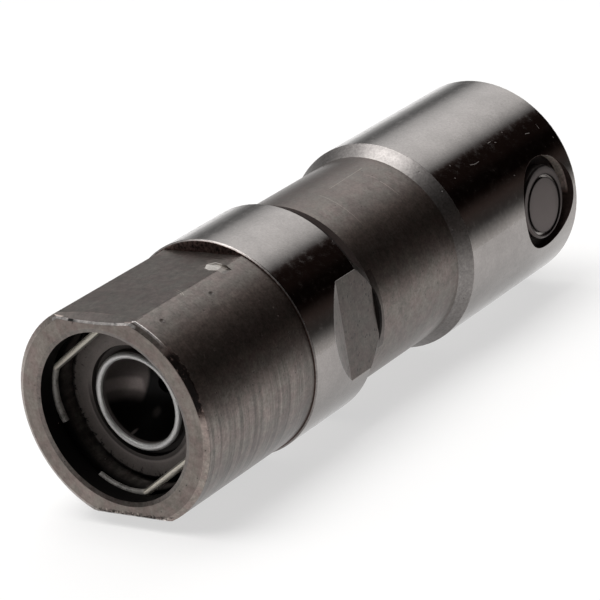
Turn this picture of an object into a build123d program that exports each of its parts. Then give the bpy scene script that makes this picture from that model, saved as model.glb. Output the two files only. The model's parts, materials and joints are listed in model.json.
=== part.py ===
from build123d import *
import os
from math import acos, asin, cos, degrees, pi, radians, sin, sqrt

# Hydraulic roller valve lifter, lying on its side. Lengths are in millimetres.
# The axis runs along X, from the pushrod end at x = 0 to the cam roller at +X, and Z is up.
# The guide flats face up and down. The roller's axle lies along Y.

# Outside of the body, by stations along the axis
band_radius = 10.7
nose_radius = 10.46
nose_face_radius = 9.94
nose_chamfer = 0.3
upper_band_start = 16.15
upper_band_end = 25.56
waist_start = 27.7
waist_end = 41.56
waist_radius = 9.77
lower_band_start = 42.93
body_length = 62.93
edge_break = 0.15
end_edge_run = 0.25

# Guide flats on the nose, and the upper one's worn front edge and chip
flat_height = 9.45
wear_radius = 42.0
wear_drop = 0.42
wear_angle = 18.0
chip_x = 13.1
chip_top = -2.4
chip_length = 1.6
chip_reach = 2.1
chip_tilt = 7.0

# Two small pits in the nose's near side, each at an x and an angle from +Y towards +Z
pit_radius = 0.45
pit_depth = 0.06
first_pit = (9.3, 124.6)
second_pit = (2.45, 123.4)

# Milled oil flat on the near side, with a ramp at one end and a steep wall at the other
oil_flat_depth = band_radius - 9.49
oil_ramp_start = 19.5
oil_flat_start = 22.45
oil_flat_end = 27.7
oil_wall_run = 0.75

# Bore for the plunger, and the clip's groove in it
bore_radius = 8.07
bore_depth = 40.0
bore_corner = 0.6
bore_mouth_width = 0.4
bore_mouth_depth = 0.15
groove_start = 1.75
groove_end = 2.55
groove_radius = 8.65
feed_hole_radius = 0.9
feed_hole_x = 21.5

# Cam roller, its axle and its needles
axle_x = 57.5
axle_radius = 3.7
axle_half_length = 10.0
axle_edge = 0.15
axle_recess_radius = 4.65
axle_recess_depth = 1.8
stake_radius = 2.94
stake_width = 0.3
stake_depth = 0.35
stake_drop = 0.33
race_clearance = 0.03
needle_radius = 0.85
needle_count = 16
needle_length = 7.6
wheel_radius = 8.8
wheel_width = 8.0
wheel_edge = 0.5
pocket_clearance = 0.25
needle_circle = axle_radius + race_clearance + needle_radius
wheel_bore_radius = needle_circle + needle_radius + race_clearance
pocket_radius = wheel_radius + pocket_clearance
pocket_half_width = wheel_width / 2 + pocket_clearance

# Wire pieces: this many sides stand for a round section and keep the meshes light
clip_wire_sides = 8
spring_wire_sides = 6

# Retaining clip: wire with two straight sides and two free ends
clip_x = (groove_start + groove_end) / 2
clip_wire_radius = 0.34
clip_arc_radius = 8.25
clip_corner_radius = 8.05
clip_flat_distance = 6.9
clip_bend = 0.7
clip_side_angle = 55.6
clip_long_end_angle = 304.0
clip_short_end_angle = -14.0
clip_short_end_radius = 7.7
clip_short_middle_angle = 5.0

# Pushrod seat
plunger_radius = bore_radius - 0.04
seat_face = 3.95
seat_back = 10.5
seat_rim_radius = 7.36
seat_rim_run = 0.65
seat_groove_radius = 5.35
seat_groove_depth = 0.6
lip_outer_radius = 4.72
lip_crest = 3.6
lip_edge = 0.2
socket_radius = 4.1
seat_hole_radius = 0.8

# Metering disc and plunger
disc_thickness = 0.5
disc_radius = 6.1
disc_hole_radius = 0.4
plunger_end = 27.5
plunger_mouth_radius = 6.2
plunger_cavity_radius = 5.0
plunger_floor = 24.5
plunger_edge = 0.25
cage_recess_radius = 5.5
cage_recess_depth = 1.5
oil_groove_start = 18.1
oil_groove_end = 24.35
oil_groove_depth = 0.5
plunger_hole_x = 21.2
valve_hole_radius = 1.5
valve_seat_depth = 0.4

# Check valve
ball_radius = 2.2
ball_clearance = 0.04
cage_sheet = 0.5
cage_bore_radius = 2.75
cage_depth = 5.0
cage_vent_radius = 0.9
cage_window_width = 1.6
cage_windows = 3

# Springs
plunger_spring_radius = 6.6
plunger_spring_wire = 0.65
plunger_spring_turns = 3
check_spring_radius = 1.5
check_spring_wire = 0.16
check_spring_turns = 3

os.makedirs("parts", exist_ok=True)


def save(piece, name):
    """Label a finished piece and write it to its own file."""
    piece.label = name
    export_step(piece, f"parts/{name}.step")


# Body: the outside is one turned profile, and everything else is cut from it
with BuildPart() as lifter_body:
    with BuildSketch(Plane.XY):
        with BuildLine():
            Polyline(
                (0, 0),
                (0, nose_face_radius),
                (nose_chamfer, nose_radius),
                (upper_band_start, nose_radius),
                (upper_band_start, band_radius - edge_break),
                (upper_band_start + edge_break, band_radius),
                (upper_band_end, band_radius),
                (waist_start, waist_radius),
                (waist_end, waist_radius),
                (lower_band_start, band_radius),
                (body_length - end_edge_run, band_radius),
                (body_length, band_radius - edge_break),
                (body_length, 0),
                close=True,
            )
        make_face()
    revolve(axis=Axis.X)

    # guide flats, as long as the nose
    for side in (1, -1):
        with BuildSketch(Plane.XY.offset(side * flat_height)):
            with Locations((upper_band_start / 2, 0)):
                Rectangle(upper_band_start, 2 * band_radius)
        extrude(amount=side * (band_radius - flat_height), mode=Mode.SUBTRACT)

    # the upper flat's front edge is worn to a wide shallow hollow that slopes down to the face
    wear_slope = (cos(radians(wear_angle)), 0, sin(radians(wear_angle)))
    wear_plane = Plane(
        origin=(0, 0, flat_height - wear_drop),
        x_dir=(0, 1, 0),
        z_dir=wear_slope,
    )
    with BuildSketch(wear_plane):
        with Locations((0, wear_radius)):
            Circle(wear_radius)
    extrude(amount=upper_band_start / 2, both=True, mode=Mode.SUBTRACT)
    front_edges = lifter_body.edges().filter_by_position(Axis.X, -0.01, 0.01).sort_by(Axis.Z)
    chamfer((front_edges[0], front_edges[-1]), edge_break)

    # bore with the clip's groove and a relieved corner at its floor
    with BuildSketch(Plane.XY):
        with BuildLine():
            Polyline(
                (0, 0),
                (0, bore_radius + bore_mouth_width),
                (bore_mouth_depth, bore_radius),
                (groove_start, bore_radius),
                (groove_start, groove_radius),
                (groove_end, groove_radius),
                (groove_end, bore_radius),
                (bore_depth - bore_corner, bore_radius),
                (bore_depth, bore_radius - bore_corner),
                (bore_depth, 0),
                close=True,
            )
        make_face()
    revolve(axis=Axis.X, mode=Mode.SUBTRACT)

    # oil flat on the near side: ramp, floor parallel to the axis, and steep end wall
    oil_floor = oil_flat_depth - band_radius
    with BuildSketch(Plane.XY):
        with BuildLine():
            Polyline(
                (oil_ramp_start, -band_radius),
                (oil_flat_start, oil_floor),
                (oil_flat_end, oil_floor),
                (oil_flat_end + oil_wall_run, -band_radius),
                (oil_flat_end + oil_wall_run, -band_radius - 1),
                (oil_ramp_start, -band_radius - 1),
                close=True,
            )
        make_face()
    extrude(amount=band_radius, both=True, mode=Mode.SUBTRACT)

    # pocket for the cam roller, closed above and below and open at the end
    with BuildSketch(Plane.XZ):
        with Locations((axle_x, 0)):
            Circle(pocket_radius)
            Rectangle(body_length, 2 * pocket_radius, align=(Align.MIN, Align.CENTER))
    extrude(amount=pocket_half_width, both=True, mode=Mode.SUBTRACT)

    # axle holes, each with the recess that its staked end sits in
    for side in (1, -1):
        with Locations(Plane(origin=(axle_x, side * band_radius, 0), z_dir=(0, side, 0))):
            CounterBoreHole(
                radius=axle_radius,
                counter_bore_radius=axle_recess_radius,
                counter_bore_depth=axle_recess_depth,
                depth=band_radius - pocket_half_width + 0.5,
            )

    # oil feed hole on the far side
    with Locations(Plane(origin=(feed_hole_x, band_radius, 0), z_dir=(0, 1, 0))):
        Hole(radius=feed_hole_radius, depth=band_radius - bore_radius + 0.5)

    # chip in the upper flat's near edge: a flake that leaves one slanting facet
    chip_fall = (0, -sin(radians(chip_tilt)), cos(radians(chip_tilt)))
    chip_plane = Plane(origin=(chip_x, chip_top, flat_height), x_dir=(1, 0, 0), z_dir=chip_fall)
    with BuildSketch(chip_plane):
        Polygon(
            (-0.50 * chip_length, -0.55 * chip_reach),
            (-0.25 * chip_length, -0.15 * chip_reach),
            (0.30 * chip_length, 0),
            (0.55 * chip_length, -0.35 * chip_reach),
            (0.30 * chip_length, -1.30 * chip_reach),
            (-0.40 * chip_length, -1.30 * chip_reach),
            align=None,
        )
    extrude(amount=chip_reach / 2, mode=Mode.SUBTRACT)

    # pits in the nose
    pit_middle = nose_radius + pit_radius - pit_depth
    for pit_x, pit_angle in (first_pit, second_pit):
        turn = radians(pit_angle)
        with Locations((pit_x, pit_middle * cos(turn), pit_middle * sin(turn))):
            Sphere(pit_radius, mode=Mode.SUBTRACT)
save(lifter_body.part, "lifter_body")

# Retaining clip: wire bent in one plane, seated in the bore's groove
corner_angle = degrees(acos(clip_flat_distance / clip_corner_radius))


def on_circle(radius, angle):
    """A point at a radius and an angle in degrees from +Y towards +Z."""
    return (radius * cos(radians(angle)), radius * sin(radians(angle)))


with BuildPart() as retainer_clip:
    with BuildLine(Plane.YZ.offset(clip_x)) as clip_path:
        first_corner = on_circle(clip_corner_radius, clip_side_angle - corner_angle)
        second_corner = on_circle(clip_corner_radius, clip_side_angle + corner_angle)
        third_corner = on_circle(clip_corner_radius, 180 + clip_side_angle - corner_angle)
        fourth_corner = on_circle(clip_corner_radius, 180 + clip_side_angle + corner_angle)
        last_arc_middle = (180 + clip_side_angle + corner_angle + clip_long_end_angle) / 2
        ThreePointArc(
            on_circle(clip_short_end_radius, clip_short_end_angle),
            on_circle(clip_corner_radius, clip_short_middle_angle),
            first_corner,
        )
        Line(first_corner, second_corner)
        ThreePointArc(
            second_corner,
            on_circle(clip_arc_radius, 90 + clip_side_angle),
            third_corner,
        )
        Line(third_corner, fourth_corner)
        ThreePointArc(
            fourth_corner,
            on_circle(clip_arc_radius, last_arc_middle),
            on_circle(clip_arc_radius, clip_long_end_angle),
        )
        corners = clip_path.vertices().sort_by(clip_path.wires()[0])[1:-1]
        fillet(corners, clip_bend)
    clip_wire = clip_path.wires()[0]
    with BuildSketch(Plane(origin=clip_wire @ 0, z_dir=clip_wire % 0)):
        RegularPolygon(clip_wire_radius, clip_wire_sides)
    sweep(path=clip_wire)
save(retainer_clip.part, "retainer_clip")

# Pushrod seat: flange, groove, raised lip, and a socket for the pushrod's ball
socket_x = lip_crest + lip_edge
socket_middle = socket_radius * sqrt(0.5)
hole_angle = asin(seat_hole_radius / socket_radius)
with BuildPart() as pushrod_seat:
    with BuildSketch(Plane.XY):
        with BuildLine():
            section = Polyline(
                (socket_x + socket_radius * cos(hole_angle), seat_hole_radius),
                (seat_back, seat_hole_radius),
                (seat_back, plunger_radius),
                (seat_face + seat_rim_run, plunger_radius),
                (seat_face, seat_rim_radius),
                (seat_face, seat_groove_radius),
                (seat_face + seat_groove_depth, seat_groove_radius - edge_break),
                (seat_face + seat_groove_depth, lip_outer_radius),
                (socket_x, lip_outer_radius),
                (lip_crest, lip_outer_radius - lip_edge),
                (lip_crest, socket_radius + lip_edge),
                (socket_x, socket_radius),
            )
            ThreePointArc(
                section @ 1,
                (socket_x + socket_middle, socket_middle),
                section @ 0,
            )
        make_face()
    revolve(axis=Axis.X)
save(pushrod_seat.part, "pushrod_seat")

# Metering disc, in the shallow recess at the plunger's mouth
with BuildPart() as metering_disc:
    with BuildSketch(Plane.YZ.offset(seat_back)):
        Circle(disc_radius)
        Circle(disc_hole_radius, mode=Mode.SUBTRACT)
    extrude(amount=disc_thickness)
save(metering_disc.part, "metering_disc")

# Plunger: hollow above, with the valve's hole, conical seat and recess in its foot
cage_recess_floor = plunger_end - cage_recess_depth
valve_seat_top = cage_recess_floor - valve_seat_depth
with BuildPart() as plunger:
    with BuildSketch(Plane.XY):
        with BuildLine():
            Polyline(
                (seat_back, plunger_mouth_radius),
                (seat_back, plunger_radius),
                (oil_groove_start, plunger_radius),
                (oil_groove_start, plunger_radius - oil_groove_depth),
                (oil_groove_end, plunger_radius - oil_groove_depth),
                (oil_groove_end, plunger_radius),
                (plunger_end - plunger_edge, plunger_radius),
                (plunger_end, plunger_radius - plunger_edge),
                (plunger_end, cage_recess_radius),
                (cage_recess_floor, cage_recess_radius),
                (cage_recess_floor, valve_hole_radius + valve_seat_depth),
                (valve_seat_top, valve_hole_radius),
                (plunger_floor, valve_hole_radius),
                (plunger_floor, plunger_cavity_radius),
                (seat_back + disc_thickness, plunger_cavity_radius),
                (seat_back + disc_thickness, plunger_mouth_radius),
                close=True,
            )
        make_face()
    revolve(axis=Axis.X)
    with Locations(Plane(origin=(plunger_hole_x, plunger_radius, 0), z_dir=(0, 1, 0))):
        Hole(radius=feed_hole_radius, depth=plunger_radius - plunger_cavity_radius + 0.5)
save(plunger.part, "plunger")

# Check ball, held just off its conical seat
ball_x = valve_seat_top - valve_hole_radius + (ball_radius + ball_clearance) * sqrt(2)
with BuildPart() as check_ball:
    with Locations((ball_x, 0, 0)):
        Sphere(ball_radius)
save(check_ball.part, "check_ball")

# Ball cage: pressed cap with a flange, windows in its side and a vent in its end
cage_outer_radius = cage_bore_radius + cage_sheet
cage_end = cage_recess_floor + cage_sheet + cage_depth
with BuildPart() as ball_cage:
    with BuildSketch(Plane.XY):
        with BuildLine():
            Polyline(
                (cage_recess_floor, cage_bore_radius),
                (cage_recess_floor, cage_recess_radius),
                (cage_recess_floor + cage_sheet, cage_recess_radius),
                (cage_recess_floor + cage_sheet, cage_outer_radius),
                (cage_end, cage_outer_radius),
                (cage_end, cage_vent_radius),
                (cage_end - cage_sheet, cage_vent_radius),
                (cage_end - cage_sheet, cage_bore_radius),
                close=True,
            )
        make_face()
    revolve(axis=Axis.X)
    with BuildSketch(Plane.YZ.offset(cage_recess_floor + 3 * cage_sheet)):
        with PolarLocations(cage_bore_radius, cage_windows):
            Rectangle(2 * cage_sheet + 1, cage_window_width)
    extrude(amount=cage_depth - 4 * cage_sheet, mode=Mode.SUBTRACT)
save(ball_cage.part, "ball_cage")


def coil_spring(start, end, radius, wire_radius, turns):
    """A helical spring along X with both ends ground flat."""
    length = end - start
    with BuildPart() as spring:
        with BuildLine():
            coil = Helix(
                pitch=length / turns,
                height=length,
                radius=radius,
                center=(start, 0, 0),
                direction=(1, 0, 0),
            )
        with BuildSketch(Plane(origin=coil @ 0, z_dir=coil % 0)):
            RegularPolygon(wire_radius, spring_wire_sides)
        sweep(path=coil, is_frenet=True)
        with BuildSketch(Plane.YZ.offset(start)):
            Circle(radius + 2 * wire_radius)
        extrude(amount=length, mode=Mode.INTERSECT)
    return spring.part


# Springs: one behind the check ball, one under the plunger
ball_back = ball_x + sqrt(ball_radius**2 - check_spring_radius**2) + check_spring_wire
save(
    coil_spring(
        ball_back,
        cage_end - cage_sheet,
        check_spring_radius,
        check_spring_wire,
        check_spring_turns,
    ),
    "check_spring",
)
save(
    coil_spring(
        plunger_end,
        bore_depth,
        plunger_spring_radius,
        plunger_spring_wire,
        plunger_spring_turns,
    ),
    "plunger_spring",
)

# Roller axle, with the staking groove that spreads each end in its hole
with BuildPart() as roller_axle:
    with BuildSketch(Plane.XZ):
        with Locations((axle_x, 0)):
            Circle(axle_radius)
    extrude(amount=axle_half_length, both=True)
    chamfer(roller_axle.edges().filter_by(GeomType.CIRCLE), axle_edge)
    for side in (1, -1):
        with BuildSketch(Plane.XZ.offset(side * axle_half_length)):
            with Locations((axle_x, -stake_drop)):
                Circle(stake_radius + stake_width / 2)
                Circle(stake_radius - stake_width / 2, mode=Mode.SUBTRACT)
        extrude(amount=-side * stake_depth, mode=Mode.SUBTRACT)
save(roller_axle.part, "roller_axle")

# Cam roller
with BuildPart() as roller_wheel:
    with BuildSketch(Plane.XZ):
        with Locations((axle_x, 0)):
            Circle(wheel_radius)
            Circle(wheel_bore_radius, mode=Mode.SUBTRACT)
    extrude(amount=wheel_width / 2, both=True)
    rim_circles = roller_wheel.edges().filter_by(GeomType.CIRCLE).group_by(SortBy.RADIUS)[-1]
    chamfer(rim_circles, wheel_edge)
save(roller_wheel.part, "roller_wheel")

# Needle rollers between the axle and the wheel
for number in range(needle_count):
    turn = 2 * pi * number / needle_count
    with BuildPart() as needle:
        with BuildSketch(Plane.XZ):
            with Locations((axle_x + needle_circle * cos(turn), needle_circle * sin(turn))):
                Circle(needle_radius)
        extrude(amount=needle_length / 2, both=True)
    save(needle.part, f"needle_{number + 1:02d}")
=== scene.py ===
import json
import math
from types import SimpleNamespace

import bpy
from mathutils import Matrix, Vector


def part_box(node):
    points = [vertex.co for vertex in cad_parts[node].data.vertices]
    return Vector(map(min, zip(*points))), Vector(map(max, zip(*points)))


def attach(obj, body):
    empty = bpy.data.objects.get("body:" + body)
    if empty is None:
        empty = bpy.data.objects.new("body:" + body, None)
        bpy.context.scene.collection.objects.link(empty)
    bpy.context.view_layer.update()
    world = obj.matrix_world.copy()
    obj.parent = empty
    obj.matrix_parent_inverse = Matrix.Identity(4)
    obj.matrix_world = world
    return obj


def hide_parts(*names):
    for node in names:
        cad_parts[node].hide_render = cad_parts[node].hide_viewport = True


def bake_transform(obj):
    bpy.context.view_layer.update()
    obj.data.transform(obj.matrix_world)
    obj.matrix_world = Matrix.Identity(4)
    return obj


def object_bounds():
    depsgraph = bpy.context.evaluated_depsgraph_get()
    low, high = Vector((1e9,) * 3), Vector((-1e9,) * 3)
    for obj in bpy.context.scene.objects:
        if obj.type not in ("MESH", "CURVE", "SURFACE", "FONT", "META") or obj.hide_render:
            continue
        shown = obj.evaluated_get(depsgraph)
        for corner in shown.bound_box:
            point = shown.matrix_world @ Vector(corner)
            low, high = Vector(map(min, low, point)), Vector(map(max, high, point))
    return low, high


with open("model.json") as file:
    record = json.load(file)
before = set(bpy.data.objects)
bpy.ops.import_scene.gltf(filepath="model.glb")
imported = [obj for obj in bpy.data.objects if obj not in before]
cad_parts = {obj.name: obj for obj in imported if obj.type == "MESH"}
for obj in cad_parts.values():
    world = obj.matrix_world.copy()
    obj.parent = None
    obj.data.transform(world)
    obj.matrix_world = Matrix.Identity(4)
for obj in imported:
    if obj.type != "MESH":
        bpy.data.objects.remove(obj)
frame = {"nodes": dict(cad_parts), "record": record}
cad_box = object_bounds()
nodes = frame["nodes"]
slots = {part["node"]: part["material_slot"] for part in frame["record"]["subparts"]}

# The frame is in metres. Sizes here are in millimetres, as in the CAD, and MM turns them to metres.
# The lifter's axis runs along +X from the pushrod end at x = 0, and +Z is up.
# Angles are in degrees round the axis, from +Y up towards +Z.
MM = 0.001

# Body, by stations along its axis
BAND_RADIUS = 10.7
NOSE_FACE_RADIUS = 9.94
NOSE_BEVEL = 0.3
NOSE_END = 16.15
FLAT_HEIGHT = 9.45
UPPER_BAND_END = 25.56
WAIST_START = 27.7
WAIST_END = 41.56
LOWER_BAND_START = 42.93
OIL_RAMP_START = 19.5
OIL_FLAT_START = 22.45
OIL_FLAT_SIDE = -9.0
BORE_DEPTH = 40.0
BORE_LIMIT = 8.9
MOUTH_BEVEL = 0.15
MOUTH_LIMIT = 8.6

# Worn dip at the front of the upper flat, and the lines of bare metal along both flats' front edges
WEAR_LENGTH = 1.5
WEAR_FLOOR = 8.95
WEAR_HALF_WIDTH = 4.6
UPPER_EDGE_HEIGHT = 8.86
LOWER_EDGE_HEIGHT = -9.28
EDGE_HALF_WIDTH = 4.7

# Roller axle, its recess and the roller's pocket
AXLE_X = 57.5
AXLE_HALF_LENGTH = 10.0
AXLE_RECESS_RADIUS = 4.65
AXLE_RECESS_FLOOR = 8.9
STAKE_RADIUS = 2.94
STAKE_HALF_WIDTH = 0.19
STAKE_DROP = 0.33
POCKET_START = 48.0
POCKET_HALF_WIDTH = 4.3

# Retaining clip
CLIP_X = 2.15
CLIP_WIRE_RADIUS = 0.34
CLIP_ARC_RADIUS = 8.25
CLIP_CORNER_RADIUS = 8.05
CLIP_FLAT_DISTANCE = 6.9
CLIP_SIDE_ANGLE = 55.6
CLIP_LONG_END_ANGLE = 304.0
CLIP_SHORT_END_ANGLE = -14.0
CLIP_SHORT_END_RADIUS = 7.7
CLIP_SHORT_MIDDLE_ANGLE = 5.0
CLIP_STEP = 0.12
CLIP_CORNER_PASSES = 8

# Pushrod seat
SEAT_FACE = 3.95
SEAT_BACK = 10.5
SEAT_OUTER_RADIUS = 8.03
SEAT_RIM_RADIUS = 7.36
SEAT_RIM_RUN = 0.65
SEAT_GROOVE_RADIUS = 5.35
SEAT_GROOVE_DEPTH = 0.6
SEAT_HOLE_RADIUS = 0.8
LIP_CREST = 3.6
LIP_OUTER_RADIUS = 4.72
SOCKET_X = 3.8
SOCKET_RADIUS = 4.1

# Springs
PLUNGER_SPRING_START = 27.5
PLUNGER_SPRING_RADIUS = 6.6
PLUNGER_SPRING_WIRE = 0.65
CHECK_SPRING_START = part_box("check_spring")[0][0] / MM
CHECK_SPRING_END = 31.0
CHECK_SPRING_RADIUS = 1.5
CHECK_SPRING_WIRE = 0.16
SPRING_TURNS = 3

# Camera fitted to the photograph, in metres
CAMERA_PLACE = Vector((-0.17264, -0.16041, 0.091195))
CAMERA_FORWARD = Vector((0.73738, 0.58700, -0.33422))
CAMERA_UP = Vector((0.36344, 0.07230, 0.92881))
CAMERA_LENS = 173.28
CAMERA_SENSOR = 36.0


# Node helpers

class Shader:
    """A material's or a world's node tree, with short calls for the nodes used here."""

    def __init__(self, owner):
        owner.use_nodes = True
        self.tree = owner.node_tree
        self.tree.nodes.clear()

    def node(self, kind, inputs=None, **settings):
        made = self.tree.nodes.new("ShaderNode" + kind)
        for name, value in settings.items():
            setattr(made, name, value)
        for name, value in (inputs or {}).items():
            self.set(made.inputs[name], value)
        return made

    def set(self, socket, value):
        """Link the socket if the value is another socket, and else write it."""
        if isinstance(value, bpy.types.NodeSocket):
            self.tree.links.new(value, socket)
        else:
            socket.default_value = value

    # numbers

    def math(self, operation, *values, clamp=False):
        made = self.node("Math", operation=operation, use_clamp=clamp)
        for socket, value in zip(made.inputs, values):
            self.set(socket, value)
        return made.outputs[0]

    def chain(self, operation, first, *others):
        for value in others:
            first = self.math(operation, first, value)
        return first

    def add(self, *values):
        return self.chain("ADD", *values)

    def less(self, a, b):
        return self.math("SUBTRACT", a, b)

    def times(self, *values):
        return self.chain("MULTIPLY", *values)

    def most(self, *values):
        return self.chain("MAXIMUM", *values)

    def size(self, value):
        return self.math("ABSOLUTE", value)

    def apart(self, a, b):
        """Length of the plane vector with these two parts."""
        return self.math("SQRT", self.add(self.times(a, a), self.times(b, b)))

    def degrees(self, across, up):
        """Angle of a plane vector, from 0 to 360 degrees."""
        turn = self.math("DIVIDE", self.math("ARCTAN2", up, across), 2 * math.pi)
        return self.times(self.math("FRACT", self.add(turn, 1.0)), 360)

    def blend(self, factor, a, b):
        made = self.node("Mix", {"Factor": factor}, data_type="FLOAT")
        self.set(made.inputs["A"], a)
        self.set(made.inputs["B"], b)
        return made.outputs["Result"]

    def layered(self, value, *layers):
        """Each layer's value laid over the ones before it, where its mask is 1."""
        for mask, laid in layers:
            value = self.blend(mask, value, laid)
        return value

    def gained(self, value, mask, gain):
        """The value, times 1 + gain where the mask is 1."""
        return self.times(value, self.add(self.times(mask, gain), 1.0))

    def varied(self, value, noise, depth):
        """The value made to swing by this depth in all, as the noise goes from 0 to 1."""
        return self.gained(value, self.less(noise, 0.5), depth)

    # masks

    def step(self, value, start, end):
        """0 before start and 1 after end; start may be the larger."""
        made = self.node("MapRange", {"Value": value}, interpolation_type="SMOOTHSTEP")
        low, high = sorted((start, end))
        made.inputs["From Min"].default_value = low
        made.inputs["From Max"].default_value = high
        made.inputs["To Min"].default_value = float(start > end)
        made.inputs["To Max"].default_value = float(start < end)
        return made.outputs["Result"]

    def over(self, value, limit, soft=0.02):
        return self.step(value, limit - soft, limit + soft)

    def under(self, value, limit, soft=0.02):
        return self.step(value, limit + soft, limit - soft)

    def off(self, mask):
        return self.under(mask, 0.5)

    def between(self, value, low, high, soft=0.02):
        """1 between low and high, with soft edges."""
        return self.times(self.over(value, low, soft), self.under(value, high, soft))

    def within(self, x, y, corners, soft=0.04):
        """1 inside a convex outline whose corners run counter-clockwise."""
        parts = []
        for start, end in zip(corners, (*corners[1:], corners[0])):
            run, rise = end[0] - start[0], end[1] - start[1]
            length = math.hypot(run, rise)
            across = self.less(
                self.times(self.less(y, start[1]), run / length),
                self.times(self.less(x, start[0]), rise / length),
            )
            parts.append(self.step(across, -soft, soft))
        return self.times(*parts)

    # places and patterns

    def place(self):
        """The point in the shared frame, its x, y and z, and its distance from the axis, in mm."""
        metres = self.node("TexCoord").outputs["Object"]
        point = self.node("VectorMath", {0: metres, "Scale": 1 / MM}, operation="SCALE").outputs["Vector"]
        x, y, z = self.node("SeparateXYZ", {0: point}).outputs
        return SimpleNamespace(point=point, x=x, y=y, z=z, radius=self.apart(y, z))

    def pair(self, a, b):
        """The vector with these first two parts."""
        return self.node("CombineXYZ", {0: a, 1: b}).outputs[0]

    def stretch(self, vector, x, y, z):
        made = self.node("VectorMath", {0: vector, 1: (x, y, z)}, operation="MULTIPLY")
        return made.outputs["Vector"]

    def noise(self, vector, scale, detail=3.0, roughness=0.55):
        made = self.node(
            "TexNoise",
            {"Vector": vector, "Scale": scale, "Detail": detail, "Roughness": roughness},
        )
        return made.outputs["Fac"]

    def specks(self, vector, scale, radius, share):
        """Small round specks, radius mm across the middle, in this share of a Voronoi pattern's cells."""
        cells = self.node("TexVoronoi", {"Vector": vector, "Scale": scale, "Randomness": 1.0})
        spots = self.step(cells.outputs["Distance"], radius * scale, radius * scale * 0.5)
        parts = self.node("SeparateXYZ", {0: cells.outputs["Color"]})
        return self.times(spots, self.math("LESS_THAN", parts.outputs[0], share))

    def marks(self, at, table):
        """Scratches and nicks from a table of (start, end, width) on a surface round the axis."""
        unrolled = self.pair(at.x, self.times(at.angle, MARK_SCALE))
        lines = []
        for start, end, width in table:
            ends = [Vector((place, turn * MARK_SCALE, 0)) for place, turn in (start, end)]
            lines.append(self.scratch(unrolled, *ends, width))
        return self.most(*lines)

    def scratch(self, unrolled, start, end, width):
        """1 on a thin straight line between two points of the unrolled surface."""
        along = end - start
        offset = self.node("VectorMath", {0: unrolled, 1: start}, operation="SUBTRACT").outputs[0]
        dot = self.node("VectorMath", {0: offset, 1: along}, operation="DOT_PRODUCT").outputs["Value"]
        share = self.math("MULTIPLY", dot, 1 / along.length_squared, clamp=True)
        foot = self.node("VectorMath", {0: along, "Scale": share}, operation="SCALE").outputs[0]
        gap = self.node("VectorMath", {0: offset, 1: foot}, operation="DISTANCE").outputs["Value"]
        return self.step(gap, width, width * 0.3)

    # colours and surfaces

    def mix(self, factor, a, b):
        """Blend of two colours, each another socket or three numbers."""
        made = self.node("Mix", {"Factor": factor}, data_type="RGBA")
        for name, colour in (("A", a), ("B", b)):
            linked = isinstance(colour, bpy.types.NodeSocket)
            self.set(made.inputs[name], colour if linked else (*colour, 1))
        return made.outputs["Result"]

    def tinted(self, tint, level):
        made = self.node("VectorMath", {0: tint, "Scale": level}, operation="SCALE")
        return made.outputs["Vector"]

    def finish(self, colour, roughness, height, metallic=1.0, **more):
        """Principled surface. Height is in millimetres."""
        surface = self.node(
            "BsdfPrincipled",
            {"Base Color": colour, "Roughness": roughness, "Metallic": metallic, **more},
        )
        relief = self.node("Bump", {"Height": height, "Distance": MM, "Strength": 1.0})
        self.set(surface.inputs["Normal"], relief.outputs["Normal"])
        self.node("OutputMaterial", {"Surface": surface.outputs[0]})


def material(name):
    made = bpy.data.materials.new(name)
    return made, Shader(made)


# Tints, which a level from 0 to 1 turns into colours
NEUTRAL = (1.0, 0.935, 0.90)
WARM = (1.0, 0.865, 0.785)
REDDISH = (1.0, 0.81, 0.74)
TAN = (1.0, 0.885, 0.79)
BURNT = (1.0, 0.80, 0.70)
OILY = (1.0, 0.68, 0.60)
CREAM = (1.0, 0.94, 0.87)
# Tint of the clip's straight sides, in painted light
SCRAPED_WIRE = (1.0, 0.93, 0.80)
SEAT_TINT = (1.0, 0.875, 0.82)
SOCKET_TINT = (1.0, 0.85, 0.81)
LIP_TINT = (1.0, 0.985, 0.965)
AXLE_END_TINT = (1.0, 0.84, 0.81)
DUST = (0.19, 0.175, 0.165)

# Weak clear highlights for the dull parts of these metals
OILED = {"Specular IOR Level": 0.1}

# Margin that keeps a mask off the next face
HAIR = 0.01

# Marks in the photograph: start and end as (x in mm, angle), and width in mm
MARK_SCALE = math.radians(10.2)
WAIST_MARKS = (
    ((31.75, 95.0), (31.39, 135.6), 0.045),
    ((38.34, 117.5), (38.40, 131.1), 0.05),
    ((39.22, 101.6), (33.35, 102.7), 0.04),
    ((38.20, 107.0), (38.47, 114.1), 0.035),
)
NOSE_MARKS = (
    ((7.50, 111.5), (6.95, 117.5), 0.045),
    ((7.20, 111.8), (6.75, 116.8), 0.03),
    ((8.10, 148.6), (8.15, 149.4), 0.07),
    ((7.15, 149.8), (7.25, 150.8), 0.05),
    ((3.40, 148.5), (3.25, 150.0), 0.06),
    ((17.1, 202.0), (16.9, 204.0), 0.05),
)
BAND_MARKS = (
    ((46.0, 133.6), (46.05, 134.1), 0.068),
    ((48.4, 139.3), (49.1, 140.3), 0.048),
    ((49.1, 140.3), (49.8, 140.2), 0.041),
    ((52.9, 134.4), (53.4, 134.4), 0.048),
    ((53.8, 136.0), (53.95, 136.4), 0.061),
    ((55.8, 133.1), (55.9, 133.5), 0.054),
    ((58.5, 140.9), (59.1, 141.6), 0.054),
    ((60.9, 139.4), (60.85, 142.4), 0.034),
    ((53.2, 156.3), (53.3, 156.7), 0.054),
    ((61.9, 150.2), (61.95, 150.6), 0.054),
    ((45.2, 140.8), (45.3, 141.1), 0.048),
    ((25.6, 134.5), (25.5, 135.1), 0.048),
)
PITS = ((9.3, 124.6), (2.45, 123.4))
PIT_RADIUS = 0.27
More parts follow.
